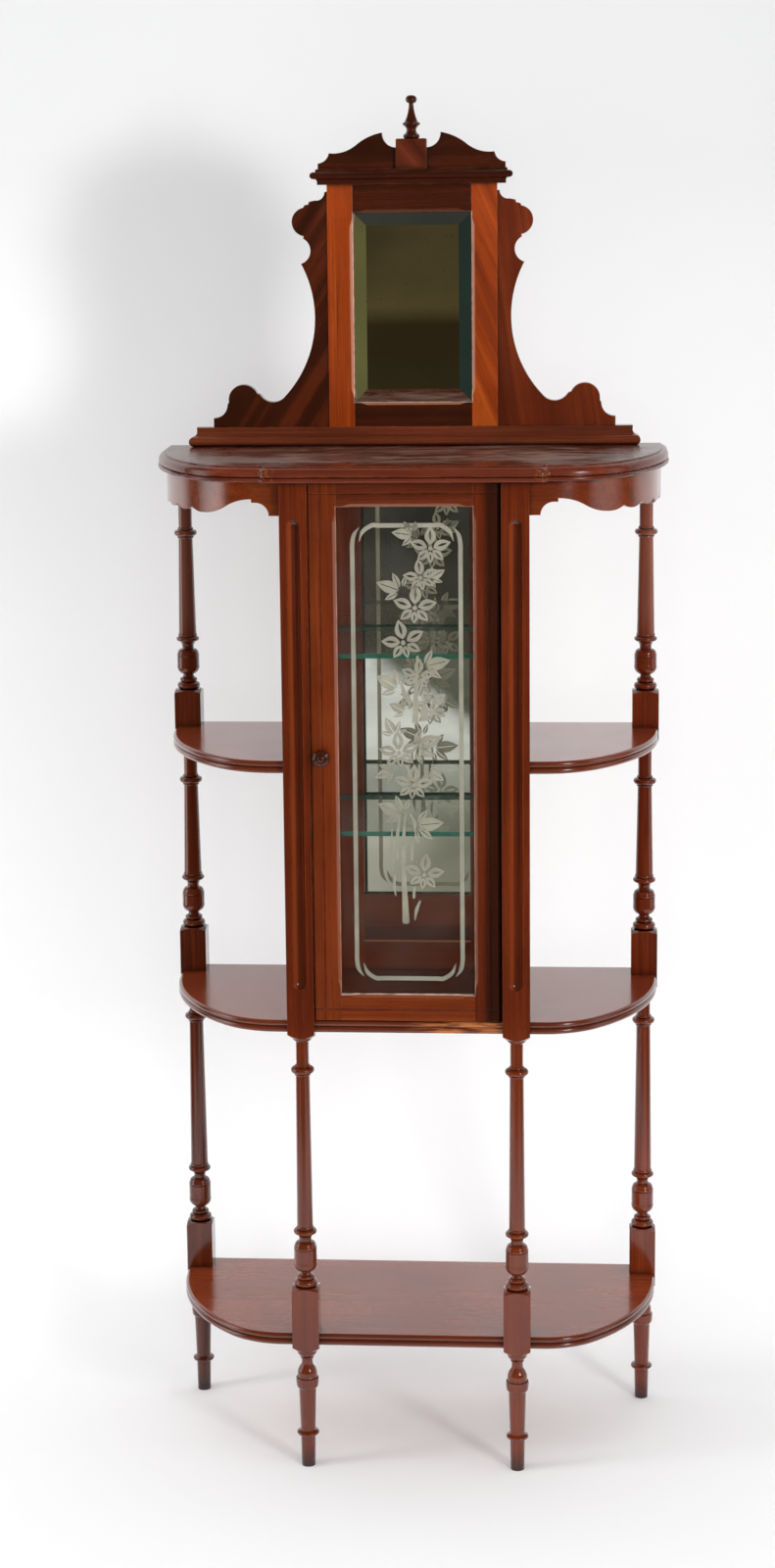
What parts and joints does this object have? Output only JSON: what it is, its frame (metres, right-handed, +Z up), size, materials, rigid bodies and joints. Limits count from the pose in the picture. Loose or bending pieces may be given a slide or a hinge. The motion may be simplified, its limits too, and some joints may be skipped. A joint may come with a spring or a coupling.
{
  "type": "curio shelf",
  "caption": "Mahogany curio shelf with a glazed cabinet, D-ended open shelves on turned posts, a breakfront top and a mirrored gallery with finial",
  "frame": {"origin": "on the floor under the middle of the stand", "axes": "+Z up, the door and front face -Y, +X to the right of a person facing the front"},
  "size_m": [0.668, 0.291, 1.7801],
  "materials": {
    "mahogany": "gloss",
    "dark_turning": "gloss",
    "plywood": "matte",
    "beech": "matte",
    "clear_glass": "gloss",
    "mirror": "gloss",
    "brass": "satin",
    "steel": "satin",
    "catch_plastic": "matte"
  },
  "bodies": {
    "case": {"apron_left": "mahogany", "apron_right": "mahogany", "back_post_left": "mahogany", "back_post_right": "mahogany", "bottom_shelf": "mahogany", "cabinet_back_rail_lower": "mahogany", "cabinet_back_rail_upper": "mahogany", "cabinet_back_stile_left": "mahogany", "cabinet_back_stile_right": "mahogany", "cabinet_backboard": "plywood", "cabinet_floor_shelf": "mahogany", "cabinet_mirror": "mirror", "cabinet_side_left": "mahogany", "cabinet_side_right": "mahogany", "cornice": "mahogany", "door_catch": "catch_plastic", "end_rail_left": "mahogany", "end_rail_right": "mahogany", "finial": "dark_turning", "front_post_left": "mahogany", "front_post_right": "mahogany", "gallery_backboard": "plywood", "gallery_base": "mahogany", "gallery_mirror": "mirror", "gallery_screws": "steel", "glass_shelf_lower": "clear_glass", "glass_shelf_upper": "clear_glass", "mirror_rail_lower": "mahogany", "mirror_rail_upper": "mahogany", "mirror_stile_left": "mahogany", "mirror_stile_right": "mahogany", "pediment_block": "mahogany", "pediment_left": "mahogany", "pediment_right": "mahogany", "pivot_bush_lower": "brass", "pivot_bush_upper": "brass", "scroll_bracket_left": "mahogany", "scroll_bracket_right": "mahogany", "shelf_dowels": "beech", "shelf_pins_lower": "brass", "shelf_pins_upper": "brass", "side_shelf_left": "mahogany", "side_shelf_right": "mahogany", "top_board": "mahogany"},
    "door": {"door_stile_left": "mahogany", "door_stile_right": "mahogany", "door_rail_lower": "mahogany", "door_rail_upper": "mahogany", "door_glass": "clear_glass", "glazing_beads": "mahogany", "door_knob": "dark_turning", "knob_screw": "steel", "pivot_upper": "brass", "pivot_lower": "brass", "pivot_screws": "brass", "catch_strike": "steel"}
  },
  "joints": [
    {"name": "door_hinge", "type": "hinge", "parent": "case", "child": "door", "pos_m": [0.11125, -0.1125, 0.9595], "axis": [0, 0, 1], "range_deg": [0, 92]}
  ]
}
